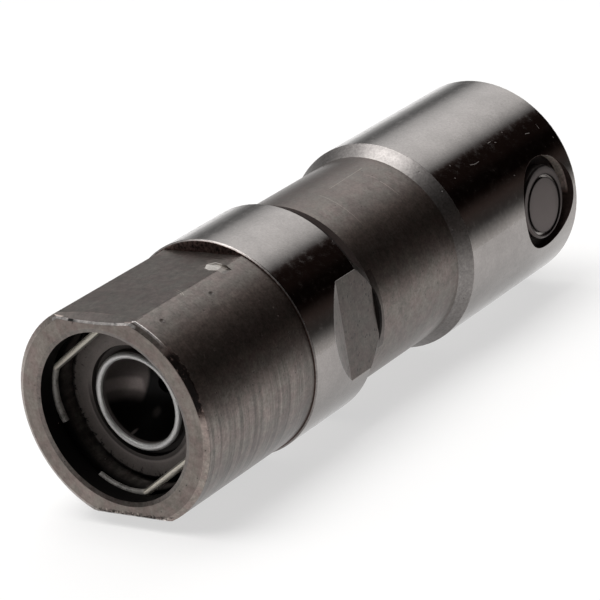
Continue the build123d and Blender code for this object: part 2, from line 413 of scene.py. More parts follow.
CHIP_OUTLINE = (
    (12.81, -2.70),
    (12.63, -3.33),
    (12.98, -4.01),
    (13.91, -3.88),
    (14.20, -2.95),
    (13.65, -2.36),
)
CHIP_FLOOR = 9.0
# Box of the chip's wall, which gets painted light
CHIP_WALL_X = (12.3, 14.9)
CHIP_WALL_Y = (-5.0, -2.0)
CHIP_WALL_LIMIT = 10.28

# Painted places on the body, from one end to the other
NOSE_LINE_X = (0.22, 0.40)
NOSE_LINE_ANGLES = (110, 133)
LATHED_ANGLES = (172, 262)
SMUDGE_ANGLES = (137, 173)
BURNT_ANGLES = (131, 150)
EDGE_NICK_Y = (2.2, 2.8)
# Span of the bore's wall by the seat that gets painted light
NEAR_SEAT_X = (2.62, 5.2)
# Where the painted glints on the bore's lower wall stop
WET_TOP = -1.5
WET_END = 9.0
CHEWED_TOP = -9.0
# Angles of the painted highlight crescent in the axle's recess
RECESS_LIT_ANGLES = (108, 184)
# The oil flat's wall, in painted shade, as an oval
OIL_WALL_MIDDLE = -0.3
OIL_WALL_SCALE_X = 1.8
OIL_WALL_SCALE_Z = 0.36
OIL_WALL_LIMIT = 0.95

# Fades on the body, from where a shade starts to where it is full
# Painted light: the flat lighter towards the shoulder, the upper taper towards the waist, the bore's wall
# towards the seat, and the bare edges towards the corner
FLAT_FADE_X = (14.3, 15.9)
TAPER_FADE_X = (25.65, 26.1)
BORE_FADE_X = (2.5, 4.0)
CORNER_FADE_Y = (-2.2, -3.4)
# Other fades
SHOULDER_FADE_ANGLES = (116, 132)
RIM_FADE_ANGLES = (140, 165)
SMUDGE_FADE_ANGLES = (152, 170)
WAIST_TOP_FADE_ANGLES = (118, 104)
# Painted light: the waist lighter on its underside
WAIST_LOW_FADE_ANGLES = (206, 224)

# Painted places on the clip, the seat and the axle's end
CLIP_ARM_HALF_LENGTH = 4.2
# Radii of the seat's painted highlight crescent, and where its painted shadow crescent ends
PALE_CRESCENT_RADII = (5.72, 5.92)
DARK_CRESCENT_END = 5.74
STAIN_FADE_RADII = (6.2, 7.5)
# Where the axle's end darkens towards its edge, and where the painted shade at its rim starts and is full
AXLE_FADE_RADII = (1.8, 3.1)
AXLE_RIM_FADE_RADII = (3.45, 3.85)

# Painted reflections in the socket: a grey side and a square patch, along a sloping line and across from it
SHINE_SLOPE = 0.44
GREY_LOW = -2.3
GREY_SIDE = 1.75
SQUARE_SPAN = (-1.57, -0.26)
SQUARE_SIDE = 2.1

# Painted glints in the socket: place as (y, z), radius, softness and strength
GLINTS = (
    ((0.86, -2.42), 0.34, 0.24, 0.45),
    ((1.95, -3.50), 0.13, 0.09, 1.0),
)


# Body: a zone is a mask that is 1 on one part of the surface and 0 elsewhere

def outside_zones(s, at, zone):
    """The ground bands, the waist, the lower taper, and the nose with its flats and shoulder."""
    bands = s.most(s.between(at.x, NOSE_END + 0.1, UPPER_BAND_END), s.over(at.x, LOWER_BAND_START))
    zone.ground = s.times(bands, s.over(at.radius, BAND_RADIUS - 0.04))
    zone.waist = s.between(at.x, WAIST_START, WAIST_END)
    zone.lower_taper = s.between(at.x, WAIST_END, LOWER_BAND_START)
    zone.nose = s.times(
        s.between(at.x, NOSE_BEVEL + HAIR, NOSE_END),
        s.over(at.radius, FLAT_HEIGHT + 0.03),
    )
    zone.lathed = s.times(zone.nose, s.between(at.angle, *LATHED_ANGLES, 14))
    zone.flat = s.times(
        s.under(at.x, NOSE_END),
        s.between(s.size(at.z), FLAT_HEIGHT - 0.02, FLAT_HEIGHT + 0.02, HAIR),
    )
    zone.shoulder = s.times(
        s.between(at.x, NOSE_END - 0.02, NOSE_END + 0.02, HAIR),
        s.over(at.radius, FLAT_HEIGHT + 0.05),
    )
    zone.shoulder_rim = s.times(
        s.between(at.x, NOSE_END + 0.02, NOSE_END + 0.11),
        s.over(at.radius, BAND_RADIUS - 0.2),
    )


def front_zones(s, at, zone):
    """The pushrod end: its face, its edges, the worn dip and the dark patch on the nose's edge."""
    zone.face = s.under(at.x, 0.006, 0.004)
    zone.nose_edge = s.times(
        s.between(at.x, HAIR, NOSE_BEVEL + HAIR, HAIR),
        s.over(at.radius, NOSE_FACE_RADIUS - 0.05),
    )
    zone.nose_line = s.times(
        s.between(at.x, *NOSE_LINE_X, 0.03),
        s.over(at.radius, NOSE_FACE_RADIUS + 0.33),
        s.between(at.angle, *NOSE_LINE_ANGLES, 5),
    )
    zone.wear = s.times(
        s.between(at.x, MOUTH_BEVEL + HAIR, WEAR_LENGTH),
        s.between(at.z, WEAR_FLOOR, FLAT_HEIGHT - HAIR),
        s.under(s.size(at.y), WEAR_HALF_WIDTH),
    )
    zone.flat_edges = s.times(
        s.between(at.x, 0.012, 0.155, 0.006),
        s.most(s.over(at.z, UPPER_EDGE_HEIGHT), s.under(at.z, LOWER_EDGE_HEIGHT)),
        s.under(s.size(at.y), EDGE_HALF_WIDTH),
    )
    zone.low_edge = s.times(s.under(at.x, MOUTH_BEVEL + HAIR), s.under(at.z, CHEWED_TOP, 0.15))
    longest = s.blend(s.step(at.angle, *SMUDGE_FADE_ANGLES), 1.35, 0.62)
    reach = s.times(s.noise(at.point, 1.3, 5, 0.7), longest)
    zone.smudge = s.times(
        s.step(s.less(at.x, reach), 0.06, -0.08),
        s.over(at.x, 0.02, HAIR),
        s.over(at.radius, NOSE_FACE_RADIUS + 0.02),
        s.between(at.angle, *SMUDGE_ANGLES, 4),
    )


def oil_flat_zones(s, at, zone):
    """The oil flat with its ramp and its steep wall, and the taper that it cuts into."""
    near = s.under(at.y, OIL_FLAT_SIDE)
    zone.oil = s.times(s.between(at.x, OIL_RAMP_START, WAIST_START + 0.9), near, s.off(zone.ground))
    zone.oil_ramp = s.times(zone.oil, s.under(at.x, OIL_FLAT_START))
    # The upper taper is painted shade
    zone.upper_taper = s.times(s.between(at.x, UPPER_BAND_END, WAIST_START - 0.05), s.off(zone.oil))
    # The oil flat's steep wall, in painted shade
    oval = s.apart(
        s.times(s.less(at.x, WAIST_START), OIL_WALL_SCALE_X),
        s.times(s.less(at.z, OIL_WALL_MIDDLE), OIL_WALL_SCALE_Z),
    )
    zone.oil_wall = s.times(s.over(at.x, WAIST_START - 0.04), s.under(oval, OIL_WALL_LIMIT, 0.08), near)


def hollow_zones(s, at, zone):
    """The bore, the roller's pocket and the axle's recess, with painted shade in the hollows, and painted
    light on the bore's wall and in the recess.
    """
    zone.inside = s.times(
        s.under(at.radius, BORE_LIMIT),
        s.between(at.x, MOUTH_BEVEL + HAIR, BORE_DEPTH + 1, HAIR),
    )
    zone.mouth = s.times(
        s.under(at.radius, MOUTH_LIMIT),
        s.between(at.x, HAIR, MOUTH_BEVEL + HAIR, HAIR),
    )
    # Painted light on the bore's wall by the seat, on one side, with drip streaks
    far_side = s.over(s.less(s.times(at.y, 0.9), s.times(at.z, 0.35)), 0.5, 2.0)
    zone.near_seat = s.times(zone.inside, s.between(at.x, *NEAR_SEAT_X, 0.06), far_side)
    zone.pocket = s.times(
        s.over(at.x, POCKET_START),
        s.under(s.size(at.y), POCKET_HALF_WIDTH),
        s.under(at.radius, BAND_RADIUS - 0.5),
    )
    across = s.less(at.x, AXLE_X)
    zone.recess = s.times(
        s.under(s.apart(across, at.z), AXLE_RECESS_RADIUS + 0.02),
        s.over(at.x, POCKET_START + 2),
    )
    zone.recess_floor = s.times(zone.recess, s.under(s.size(at.y), AXLE_RECESS_FLOOR + 0.05))
    # Painted highlight: a lit crescent on the recess's wall; the rest of the recess is painted shade
    zone.recess_lit = s.times(
        zone.recess,
        s.between(s.degrees(s.less(0.0, across), at.z), *RECESS_LIT_ANGLES, 6),
        s.between(s.size(at.y), AXLE_RECESS_FLOOR + 0.1, AXLE_HALF_LENGTH, 0.08),
    )
    unlit = s.times(zone.recess, s.under(zone.recess_lit, 0.5, 0.4))
    # Hollows in painted shade: the bore, the recess where it is not lit, the oil flat's wall and the upper
    # taper
    zone.cavity = s.most(unlit, zone.inside, zone.oil_wall, zone.upper_taper)


def damage_zones(s, at, zone):
    """The chip at the upper flat's edge, with a painted highlight on its bare metal and painted light on
    its wall, and the two pits in the nose.
    """
    # The chip's bare metal, painted lighter as a highlight
    zone.chip = s.times(s.within(at.x, at.y, CHIP_OUTLINE), s.over(at.z, CHIP_FLOOR))
    # Painted light on the chip's wall, which lies in shade
    zone.chip_wall = s.times(
        s.between(at.x, *CHIP_WALL_X),
        s.between(at.y, *CHIP_WALL_Y),
        s.between(at.z, CHIP_FLOOR, FLAT_HEIGHT - 0.005, HAIR),
        s.under(at.radius, CHIP_WALL_LIMIT, HAIR),
        s.off(zone.chip),
    )
    holes = []
    for place, turn in PITS:
        gap = s.apart(s.less(at.x, place), s.times(s.less(at.angle, turn), MARK_SCALE))
        holes.append(s.under(gap, PIT_RADIUS, 0.06))
    zone.pits = s.times(s.most(*holes), zone.nose)


def body_grain(s, at, zone):
    """Turning marks, grain and mottling."""
    point, angle = at.point, at.angle
    coarse = s.noise(s.stretch(point, 2.4, 0.04, 0.04), 1.0, 4, 0.7)
    drips = s.noise(s.pair(s.times(at.x, 0.5), s.times(angle, 0.20)), 0.8, 4, 0.7)
    return SimpleNamespace(
        turned=s.noise(s.stretch(point, 9, 0.16, 0.16), 1.0, 4, 0.6),
        streak=s.noise(s.stretch(point, 1.4, 0.10, 0.10), 1.0, 3),
        lathe=s.times(s.step(coarse, 0.36, 0.66), zone.lathed),
        grain=s.noise(point, 4.5, 3, 0.6),
        fleck=s.noise(point, 1.5, 4, 0.65),
        mottle=s.noise(point, 0.33, 5, 0.6),
        rings=s.noise(s.pair(s.times(at.radius, 5.0), s.times(angle, 0.03)), 1.0, 4, 0.6),
        drips=s.step(drips, 0.36, 0.64),
    )


def body_wear(s, at, zone, mark):
    """Stains, specks, worn edges, scratches and nicks, and painted glints in the bore."""
    point = at.point
    mark.worn = s.over(s.noise(point, 1.7, 4, 0.6), 0.38, 0.14)
    mark.chewed = s.times(zone.low_edge, s.over(s.noise(point, 2.4, 4, 0.7), 0.50, 0.05))
    flaked = s.over(s.noise(s.stretch(point, 1, 1.3, 1), 2.1, 3, 0.6), 0.60, 0.04)
    mark.flaked = s.times(zone.low_edge, flaked)
    mark.ragged = s.times(zone.smudge, s.over(s.noise(point, 1.9, 5, 0.75), 0.36, 0.08))
    # Lighter and browner between two angles on the nose and the waist
    mark.burnt = s.times(s.between(at.angle, *BURNT_ANGLES, 8), s.most(zone.nose, zone.waist))
    high = s.times(zone.waist, s.step(at.angle, *WAIST_TOP_FADE_ANGLES))
    mark.stained = s.times(high, s.step(mark.fleck, 0.40, 0.58))
    mark.pocks = s.most(
        s.times(s.specks(point, 1.3, 0.09, 0.5), s.off(zone.ground)),
        s.times(s.specks(s.stretch(point, 1, 1, 0.6), 2.6, 0.11, 0.5), zone.oil),
    )
    # Painted glints on the bore's lower front wall
    low_front = s.times(zone.inside, s.under(at.z, WET_TOP), s.under(at.x, WET_END))
    mark.wet = s.times(s.specks(point, 0.8, 0.06, 0.22), low_front)
    mark.scratches = s.most(
        s.times(s.marks(at, WAIST_MARKS), zone.waist, s.over(mark.turned, 0.40, 0.08)),
        s.times(s.marks(at, NOSE_MARKS), s.most(zone.nose, zone.shoulder_rim)),
    )
    nicks = s.times(s.marks(at, BAND_MARKS), zone.ground)
    dust = s.specks(s.stretch(point, 1, 1, 1.3), 1.1, 0.05, 0.10)
    mark.pale = s.times(s.most(dust, nicks), s.off(zone.inside))


def body_level(s, at, zone, mark):
    """Brightness of the bare metal, with painted light and shade: each finish laid over the ones before it,
    then marks and grain.
    """
    nick = s.between(at.y, *EDGE_NICK_Y, 0.12)
    bare_edge = s.times(zone.flat_edges, mark.worn, s.off(nick))
    speckled = s.add(s.times(s.noise(at.point, 3.2, 3, 0.7), 0.50), -0.155)
    drips = s.add(s.times(mark.drips, 0.045), 0.050)
    level = s.layered(
        0.150,
        (zone.ground, 0.290),
        (zone.waist, 0.152),
        # Painted highlight: the flat lighter towards the shoulder
        (zone.flat, s.gained(0.122, s.step(at.x, *FLAT_FADE_X), 0.5)),
        (zone.wear, 0.080),
        (zone.face, s.add(s.times(mark.rings, 0.07), 0.145)),
        (zone.oil, 0.085),
        (zone.oil_ramp, 0.150),
        # Painted shade on the upper taper, with a painted highlight towards the waist
        (zone.upper_taper, s.blend(s.step(at.x, *TAPER_FADE_X), 0.006, 0.030)),
        (zone.lower_taper, 0.205),
        (zone.shoulder, s.blend(s.step(at.angle, *SHOULDER_FADE_ANGLES), speckled, 0.13)),
        (zone.shoulder_rim, s.blend(s.step(at.angle, *RIM_FADE_ANGLES), 0.36, 0.20)),
        (zone.nose_edge, 0.27),
        (mark.ragged, 0.007),
        (zone.mouth, 0.13),
        # Bare edges, with a painted highlight towards the corner
        (bare_edge, s.blend(s.step(at.y, *CORNER_FADE_Y), 0.52, 0.85)),
        (s.times(zone.flat_edges, nick), 0.02),
        (s.times(zone.nose_line, mark.worn), 0.75),
        (mark.chewed, 0.03),
        (mark.flaked, 0.36),
        # Painted shade on the oil flat's wall
        (zone.oil_wall, 0.01),
        # Painted shade in the recess and on its floor, with a painted highlight crescent on its wall
        (zone.recess, 0.05),
        (zone.recess_lit, 0.72),
        (zone.recess_floor, 0.015),
        (zone.pocket, 0.12),
        # Painted light on the chip's wall, and a painted highlight on the chip
        (zone.chip_wall, 0.24),
        (zone.chip, 0.46),
        (zone.pits, 0.10),
        # Painted shade in the bore, and painted light on its wall by the seat, with drip streaks
        (zone.inside, 0.002),
        (zone.near_seat, s.times(s.step(at.x, *BORE_FADE_X), drips)),
    )
    for mask, gain in (
        (mark.burnt, 0.55),
        (mark.stained, -0.24),
        # Painted light: the waist lighter on its underside
        (s.times(zone.waist, s.step(at.angle, *WAIST_LOW_FADE_ANGLES)), 0.12),
        (s.times(s.less(mark.lathe, 0.5), zone.lathed), 0.66),
        (mark.pocks, -0.6),
    ):
        level = s.gained(level, mask, gain)
    for noise, depth in (
        (mark.mottle, 0.46),
        (mark.grain, s.layered(1.10, (zone.face, 0.60), (zone.ground, 0.40))),
        (mark.fleck, s.layered(1.05, (zone.lower_taper, 0.40), (zone.ground, 0.24))),
        (mark.turned, s.blend(zone.ground, 0.30, 0.0)),
        (mark.streak, s.blend(zone.ground, 0.24, 0.0)),
    ):
        level = s.varied(level, noise, depth)
    # Scratches, and the painted glints in the bore
    return s.layered(level, (s.times(mark.scratches, 0.8), 0.36), (mark.wet, 0.45))


def body_tint(s, at, zone, mark):
    """Reddish and tan steel, neutral where it is ground or bare, and brown where it is oily and in the
    hollows' painted shade.
    """
    tint = s.mix(s.step(s.noise(at.point, 0.7, 4), 0.38, 0.62), REDDISH, TAN)
    bare = s.most(
        zone.ground,
        zone.shoulder_rim,
        zone.flat_edges,
        zone.nose_line,
        zone.chip,
        zone.lower_taper,
        mark.wet,
    )
    # Brown on the oily shoulder, on the dark patch and in the hollows' painted shade, not on the bore's
    # painted glints
    oily = s.most(s.times(zone.cavity, s.off(zone.near_seat)), zone.shoulder, zone.smudge)
    tint = s.mix(s.most(s.times(mark.burnt, 0.7), s.times(mark.stained, 0.6)), tint, BURNT)
    tint = s.mix(bare, tint, NEUTRAL)
    tint = s.mix(s.times(oily, s.off(mark.wet)), tint, OILY)
    return s.mix(zone.chip, tint, CREAM)


def body_matte(s, zone, mark):
    """How far the surface is from bare metal: dust, dirt and oil, the pits, the dark patch, and the painted
    light and shade of the chip, the recess's lit crescent and the hollows.
    """
    return s.most(
        mark.pale,
        s.times(zone.recess_lit, 0.7),
        s.times(zone.chip, 0.6),
        s.times(zone.chip_wall, 0.9),
        s.times(zone.cavity, 0.92),
        s.times(zone.pits, 0.5),
        s.times(mark.ragged, 0.9),
    )


def body_roughness(s, zone, mark):
    return s.layered(
        s.add(s.times(mark.grain, 0.14), 0.30),
        (zone.ground, s.add(s.times(s.step(mark.fleck, 0.42, 0.80), 0.20), 0.085)),
        (s.most(zone.cavity, zone.pits), 0.65),
    )


def body_film(s, zone):
    """Weight of the thin oil film on the nose, the oil flat and the waist."""
    dry = s.most(
        zone.ground,
        zone.cavity,
        zone.recess,
        zone.face,
        zone.flat,
        zone.nose_edge,
        zone.lower_taper,
        zone.smudge,
    )
    return s.times(s.blend(zone.waist, 0.36, 0.22), s.off(dry))


def body_relief(s, zone, mark):
    return s.add(
        s.times(mark.turned, s.blend(zone.ground, 0.0045, 0.0006)),
        s.times(mark.grain, 0.0016),
        s.times(mark.fleck, s.blend(zone.ground, 0.010, 0.0018)),
        s.times(s.most(mark.pocks, mark.chewed), -0.02),
        s.times(mark.scratches, 0.003),
        s.times(mark.lathe, 0.006),
    )


def body_steel():
    """Ground bands with dull turned and milled steel between them, and an oily bore; the hollows, the chip
    and some faces and edges carry painted light and shade.
    """
    made, s = material("body_steel")
    at = s.place()
    at.angle = s.degrees(at.y, at.z)
    zone = SimpleNamespace()
    for mark_out in (outside_zones, front_zones, oil_flat_zones, hollow_zones, damage_zones):
        mark_out(s, at, zone)
    mark = body_grain(s, at, zone)
    body_wear(s, at, zone, mark)
    steel = s.tinted(body_tint(s, at, zone, mark), body_level(s, at, zone, mark))
    oily = {"Coat Weight": body_film(s, zone), "Coat Roughness": 0.16, **OILED}
    s.finish(
        s.mix(mark.pale, steel, DUST),
        body_roughness(s, zone, mark),
        body_relief(s, zone, mark),
        metallic=s.less(1.0, body_matte(s, zone, mark)),
        **oily,
    )
    return made


# Finishes of the other pieces

def clip_wire():
    """Painted light on the straight sides, painted shade on their inner side, and stained arcs in painted
    shade, deeper on the lower arc.
    """
    made, s = material("clip_wire")
    at = s.place()
    side = math.radians(CLIP_SIDE_ANGLE)
    outwards = s.size(s.add(s.times(at.y, math.cos(side)), s.times(at.z, math.sin(side))))
    along = s.size(s.less(s.times(at.z, math.cos(side)), s.times(at.y, math.sin(side))))
    arm = s.times(s.over(outwards, CLIP_FLAT_DISTANCE - 0.6), s.under(along, CLIP_ARM_HALF_LENGTH, 0.25))
    inner = s.times(arm, s.under(outwards, CLIP_FLAT_DISTANCE - 0.20, 0.05))
    drawn = s.noise(at.point, 0.9, 3)
    grain = s.noise(at.point, 6, 2)
    stain = s.over(s.noise(at.point, 1.1, 4, 0.7), 0.56, 0.06)
    # Painted light on the straight sides; painted shade on the arcs, deeper towards the bottom
    level = s.blend(arm, s.blend(s.step(at.z, -1, -4), 0.24, 0.13), 0.92)
    level = s.add(level, s.times(drawn, 0.10), s.times(grain, 0.08))
    level = s.gained(level, stain, s.blend(arm, -0.55, 0.0))
    # Painted shade on the inner side of the straight sides
    level = s.blend(s.times(inner, 0.85), level, 0.045)
    tint = s.mix(arm, CREAM, SCRAPED_WIRE)
    rough = s.add(s.times(drawn, 0.12), 0.42)
    s.finish(s.tinted(tint, level), rough, s.times(grain, 0.002), metallic=0.12)
    return made


def seat_zones(s, at):
    """The lip, the socket and the groove between lip and flange; the flange, its cone, and two crescents at
    the lower left, a painted shadow and a painted highlight.
    """
    depth = s.less(at.x, SEAT_FACE)
    front = s.under(depth, 0.9, 0.05)
    lower_left = s.step(s.less(s.times(at.z, 0.8), s.times(at.y, 0.3)), 0.5, -2.5)
    lip = s.between(at.radius, SOCKET_RADIUS - 0.03, LIP_OUTER_RADIUS + 0.03)
    groove = s.between(at.radius, LIP_OUTER_RADIUS, SEAT_GROOVE_RADIUS)
    dark_crescent = s.between(at.radius, SEAT_GROOVE_RADIUS - 0.05, DARK_CRESCENT_END, 0.10)
    return SimpleNamespace(
        lip=s.times(lip, s.under(depth, 0.02)),
        groove=s.times(groove, s.over(depth, 0.05)),
        socket=s.times(s.under(at.radius, SOCKET_RADIUS - 0.03), s.over(depth, -0.1)),
        flange=s.times(front, s.over(at.radius, SEAT_GROOVE_RADIUS - 0.02)),
        cone=s.times(front, s.over(at.radius, SEAT_RIM_RADIUS - 0.1, 0.08)),
        pale_crescent=s.times(lower_left, s.between(at.radius, *PALE_CRESCENT_RADII, 0.09)),
        dark_crescent=s.times(lower_left, dark_crescent),
    )


def socket_shine(s, at):
    """Painted reflections of the socket's polish: a grey side, a paler square patch on it, and two glints.
    """
    slant = s.less(at.z, s.times(at.y, SHINE_SLOPE))
    side = s.over(s.add(at.y, s.times(at.z, 0.35)), GREY_SIDE, 0.2)
    grey = s.times(s.over(slant, GREY_LOW, 0.5), side)
    square = s.times(s.between(slant, *SQUARE_SPAN, 0.3), s.over(at.y, SQUARE_SIDE, 0.2))
    glints = []
    for (y, z), radius, soft, strength in GLINTS:
        gap = s.apart(s.less(at.y, y), s.less(at.z, z))
        glints.append(s.times(s.under(gap, radius, soft), strength))
    return grey, square, s.most(*glints)


def seat_steel():
    """Stained flange, with painted shade in the groove and towards the bottom, a polished socket with
    painted reflections, and a bright lip.
    """
    made, s = material("seat_steel")
    at = s.place()
    zone = seat_zones(s, at)
    grey, square, glint = socket_shine(s, at)
    turn = s.degrees(at.y, at.z)
    mottle = s.noise(at.point, 0.6, 5, 0.6)
    grain = s.noise(at.point, 5, 3)
    turned = s.noise(s.stretch(at.point, 6, 0.2, 0.2), 1.0, 3)
    rings = s.noise(s.pair(s.times(at.radius, 2.2), s.times(turn, 0.02)), 1.0, 3, 0.6)
    spokes = s.noise(s.pair(s.times(at.radius, 0.55), s.times(turn, 0.12)), 1.6, 5, 0.78)
    stained = s.add(spokes, s.times(s.step(at.radius, *STAIN_FADE_RADII), 0.15))
    stains = s.times(s.over(stained, 0.66, 0.05), zone.flange)
    specks = s.times(s.specks(at.point, 1.5, 0.10, 0.45), zone.flange)

    level = s.add(s.times(mottle, 0.10), s.times(rings, 0.08), 0.125)
    level = s.blend(zone.cone, level, 0.10)
    # Painted shade towards the bottom, deepest on the cone
    level = s.gained(level, s.step(at.z, -1.0, -7.5), s.blend(zone.cone, -0.15, -0.92))
    level = s.gained(s.gained(level, stains, -0.88), specks, -0.8)
    level = s.layered(
        level,
        # Painted shadow and highlight crescents, and painted shade in the groove, darker towards the lower
        # left
        (s.times(zone.dark_crescent, 0.75), 0.035),
        (s.times(zone.pale_crescent, 0.7), 0.26),
        (zone.groove, s.blend(s.step(s.add(at.z, at.y), -2.0, 5.0), 0.025, 0.075)),
        # Painted reflections and glints in the socket, which is nearly black elsewhere
        (zone.socket, s.layered(0.004, (grey, 0.115), (square, 0.25))),
        (s.times(zone.socket, glint), 0.16),
        (zone.lip, 0.80),
    )
    level = s.varied(level, grain, 0.4)
    tint = s.mix(zone.lip, s.mix(zone.socket, SEAT_TINT, SOCKET_TINT), LIP_TINT)
    rough = s.layered(s.add(s.times(grain, 0.16), 0.40), (zone.lip, 0.42), (zone.socket, 0.44))
    metallic = s.layered(0.25, (zone.socket, s.blend(grey, 0.05, 0.45)), (zone.lip, 0.35))
    height = s.add(
        s.times(grain, 0.0015),
        s.times(turned, 0.002),
        s.times(s.most(stains, specks), -0.012),
    )
    s.finish(s.tinted(tint, level), rough, height, metallic, **OILED)
    return made


def axle_steel():
    """Ground pin with a darker end, which darkens towards its edge, with painted shade at its rim and on
    its dull staked groove.
    """
    made, s = material("axle_steel")
    at = s.place()
    away = s.apart(s.less(at.x, AXLE_X), s.add(at.z, STAKE_DROP))
    end = s.over(s.size(at.y), AXLE_HALF_LENGTH - 0.2)
    groove = s.between(away, STAKE_RADIUS - STAKE_HALF_WIDTH, STAKE_RADIUS + STAKE_HALF_WIDTH, 0.12)
    dull = s.times(groove, end)
    mottle = s.noise(at.point, 0.5, 5, 0.6)
    grain = s.noise(at.point, 5, 3)
    # The end darkens towards its edge; painted shade at its rim and on the staked groove
    face = s.layered(
        s.blend(s.step(away, *AXLE_FADE_RADII), 0.092, 0.078),
        (s.over(away, STAKE_RADIUS + 0.15), 0.080),
        (s.times(s.step(away, *AXLE_RIM_FADE_RADII), 0.7), 0.02),
        (dull, 0.010),
    )
    level = s.varied(s.varied(s.blend(end, 0.34, face), mottle, 0.2), grain, 0.2)
    tint = s.mix(end, NEUTRAL, AXLE_END_TINT)
    rough = s.blend(dull, s.add(s.times(grain, 0.12), 0.30), 0.7)
    metallic = s.less(1.0, s.times(dull, 0.9))
    s.finish(s.tinted(tint, level), rough, s.times(grain, 0.0015), metallic, **OILED)
    return made


def plain_steel(name, level, roughness, tint=NEUTRAL):
    """Machined steel with fine grain, for the pieces that are hidden or small."""
    made, s = material(name)
    point = s.place().point
    mottle = s.noise(point, 0.5, 5, 0.6)
    grain = s.noise(point, 4, 3)
    level = s.varied(s.varied(level, mottle, 0.3), grain, 0.2)
    s.finish(s.tinted(tint, level), s.add(s.times(grain, 0.12), roughness), s.times(grain, 0.0015))
    return made


finishes = {
    "body_steel": body_steel(),
    "clip_wire": clip_wire(),
    "seat_steel": seat_steel(),
    "axle_steel": axle_steel(),
    "disc_steel": plain_steel("disc_steel", 0.44, 0.30),
    "plunger_steel": plain_steel("plunger_steel", 0.48, 0.20),
    "ball_steel": plain_steel("ball_steel", 0.65, 0.08),
    "spring_steel": plain_steel("spring_steel", 0.23, 0.28, WARM),
    "cage_steel": plain_steel("cage_steel", 0.52, 0.28),
    "roller_steel": plain_steel("roller_steel", 0.53, 0.16),
    "needle_steel": plain_steel("needle_steel", 0.65, 0.14),
}
for name, cad in nodes.items():
    cad.data.materials.clear()
    cad.data.materials.append(finishes[slots[name]])


# Pieces in mesh code, where the photograph shows rounder forms than the light CAD meshes

def mesh_object(name, points, faces, finish):
    mesh = bpy.data.meshes.new(name)
    mesh.from_pydata(points, [], faces)
    mesh.materials.append(finish)
    made = bpy.data.objects.new(name, mesh)
    bpy.context.scene.collection.objects.link(made)
    return made


def piece(name, points, faces, node, sharp=35):
    """A mesh that stands for a CAD node, in millimetres, with that node's finish."""
    made = mesh_object(name, [Vector(point) * MM for point in points], faces, finishes[slots[node]])
    made.data.update()
    made.data.polygons.foreach_set("use_smooth", [True] * len(faces))
    made.data.set_sharp_from_angle(angle=math.radians(sharp))
    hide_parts(node)
    return made


def rings_to_faces(rings, sides, closed=False):
    """Quads between rings of points that follow one another in the point list."""
    faces = []
    for ring in range(rings if closed else rings - 1):
        for side in range(sides):
            a = ring * sides + side
            b = ring * sides + (side + 1) % sides
            step = (ring + 1) % rings - ring
            faces.append((a, b, b + step * sides, a + step * sides))
    return faces


def turned_section(section, sides=160):
    """Points and faces of a closed section of (x, radius) turned round the axis."""
    points = []
    for x, radius in section:
        for side in range(sides):
            turn = 2 * math.pi * side / sides
            points.append((x, radius * math.cos(turn), radius * math.sin(turn)))
    return points, rings_to_faces(len(section), sides, closed=True)


# Rings that round off a wire's end: distance past the end and radius, both as shares of the wire's radius
WIRE_END = ((0.18, 0.93), (0.30, 0.72))


def tube(path, radius, sides=20):
    """Points and faces of a round wire along a path, with its ends' edges broken."""
    rings = []
    for index, centre in enumerate(path):
        before = path[max(index - 1, 0)]
        after = path[min(index + 1, len(path) - 1)]
        rings.append((centre, (after - before).normalized(), radius))
    start, start_along, _ = rings[0]
    end, end_along, _ = rings[-1]
    for past, share in WIRE_END:
        rings.insert(0, (start - start_along * past * radius, start_along, radius * share))
        rings.append((end + end_along * past * radius, end_along, radius * share))
    points = []
    for centre, along, size in rings:
        across = (Vector((1, 0, 0)) - along * along.x).normalized()
        other = along.cross(across)
        for side in range(sides):
            turn = 2 * math.pi * side / sides
            points.append(centre + size * (math.cos(turn) * across + math.sin(turn) * other))
    faces = rings_to_faces(len(rings), sides)
    faces.append(tuple(range(sides)))
    faces.append(tuple(reversed(range((len(rings) - 1) * sides, len(rings) * sides))))
    return points, faces


def on_circle(radius, degrees):
    """A point of the clip's plane."""
    turn = math.radians(degrees)
    return Vector((CLIP_X, radius * math.cos(turn), radius * math.sin(turn)))


def arc(start, middle, end, steps=36):
    """Points of the circle's arc through three points of the clip's plane."""
    a, b, c = (Vector((p.y, p.z)) for p in (start, middle, end))
    d = 2 * (a.x * (b.y - c.y) + b.x * (c.y - a.y) + c.x * (a.y - b.y))
    squares = a.length_squared, b.length_squared, c.length_squared
    centre = Vector((
        (squares[0] * (b.y - c.y) + squares[1] * (c.y - a.y) + squares[2] * (a.y - b.y)) / d,
        (squares[0] * (c.x - b.x) + squares[1] * (a.x - c.x) + squares[2] * (b.x - a.x)) / d,
    ))
    radius = (a - centre).length
    first = math.atan2(a.y - centre.y, a.x - centre.x)
    sweep = (math.atan2(c.y - centre.y, c.x - centre.x) - first) % (2 * math.pi)
    points = []
    for step in range(steps + 1):
        turn = first + sweep * step / steps
        across = centre.x + radius * math.cos(turn)
        up = centre.y + radius * math.sin(turn)
        points.append(Vector((start.x, across, up)))
    return points


def eased(path, passes):
    """The same path with its corners rounded; its ends stay."""
    for _ in range(passes):
        inner = [(path[i - 1] + 2 * path[i] + path[i + 1]) / 4 for i in range(1, len(path) - 1)]
        path = [path[0], *inner, path[-1]]
    return path


def even(path, spacing):
    """The same path in equal steps."""
    result = [path[0]]
    for point in path[1:]:
        while (point - result[-1]).length > spacing:
            result.append(result[-1] + (point - result[-1]).normalized() * spacing)
    return result


